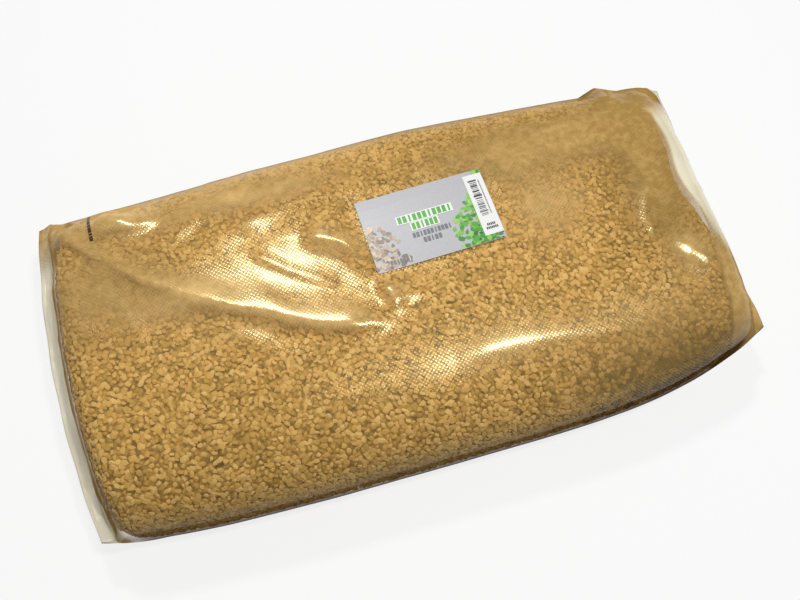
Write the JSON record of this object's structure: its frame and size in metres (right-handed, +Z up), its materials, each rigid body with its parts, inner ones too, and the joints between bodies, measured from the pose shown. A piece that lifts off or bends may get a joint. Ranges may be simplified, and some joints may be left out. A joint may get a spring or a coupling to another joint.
{
  "type": "bag of small animal litter",
  "caption": "Clear film bag packed with golden wood granulate, lying on its broad back, with sealed ends, creases and a rectangular label on top.",
  "frame": {"origin": "bottom centre of the bounding box, on the surface the bag lies on", "axes": "+X along the bag towards its right seal, +Y towards its back long side, +Z up"},
  "size_m": [0.8077, 0.4089, 0.1588],
  "materials": {
    "film": "clear glossy polyethylene film",
    "granulate": "raw dry wood grains",
    "label_paper": "smooth coated paper, light grey",
    "print_green": "printed green field",
    "print_white": "printed white field",
    "print_black": "printed black bars",
    "print_light_green": "printed light green field",
    "print_grey": "printed dark grey field",
    "print_tan": "printed tan field",
    "print_mark": "dark ink on film"
  },
  "bodies": {
    "root": {"film_bag": "film", "litter_fill": "granulate", "label": "label_paper", "label_leaf_field": "print_green", "label_code_panel": "print_white", "label_code_bars": "print_black", "label_title_bars": "print_light_green", "label_note_bars": "print_grey", "label_picture_field": "print_tan", "film_mark": "print_mark"}
  },
  "joints": []
}
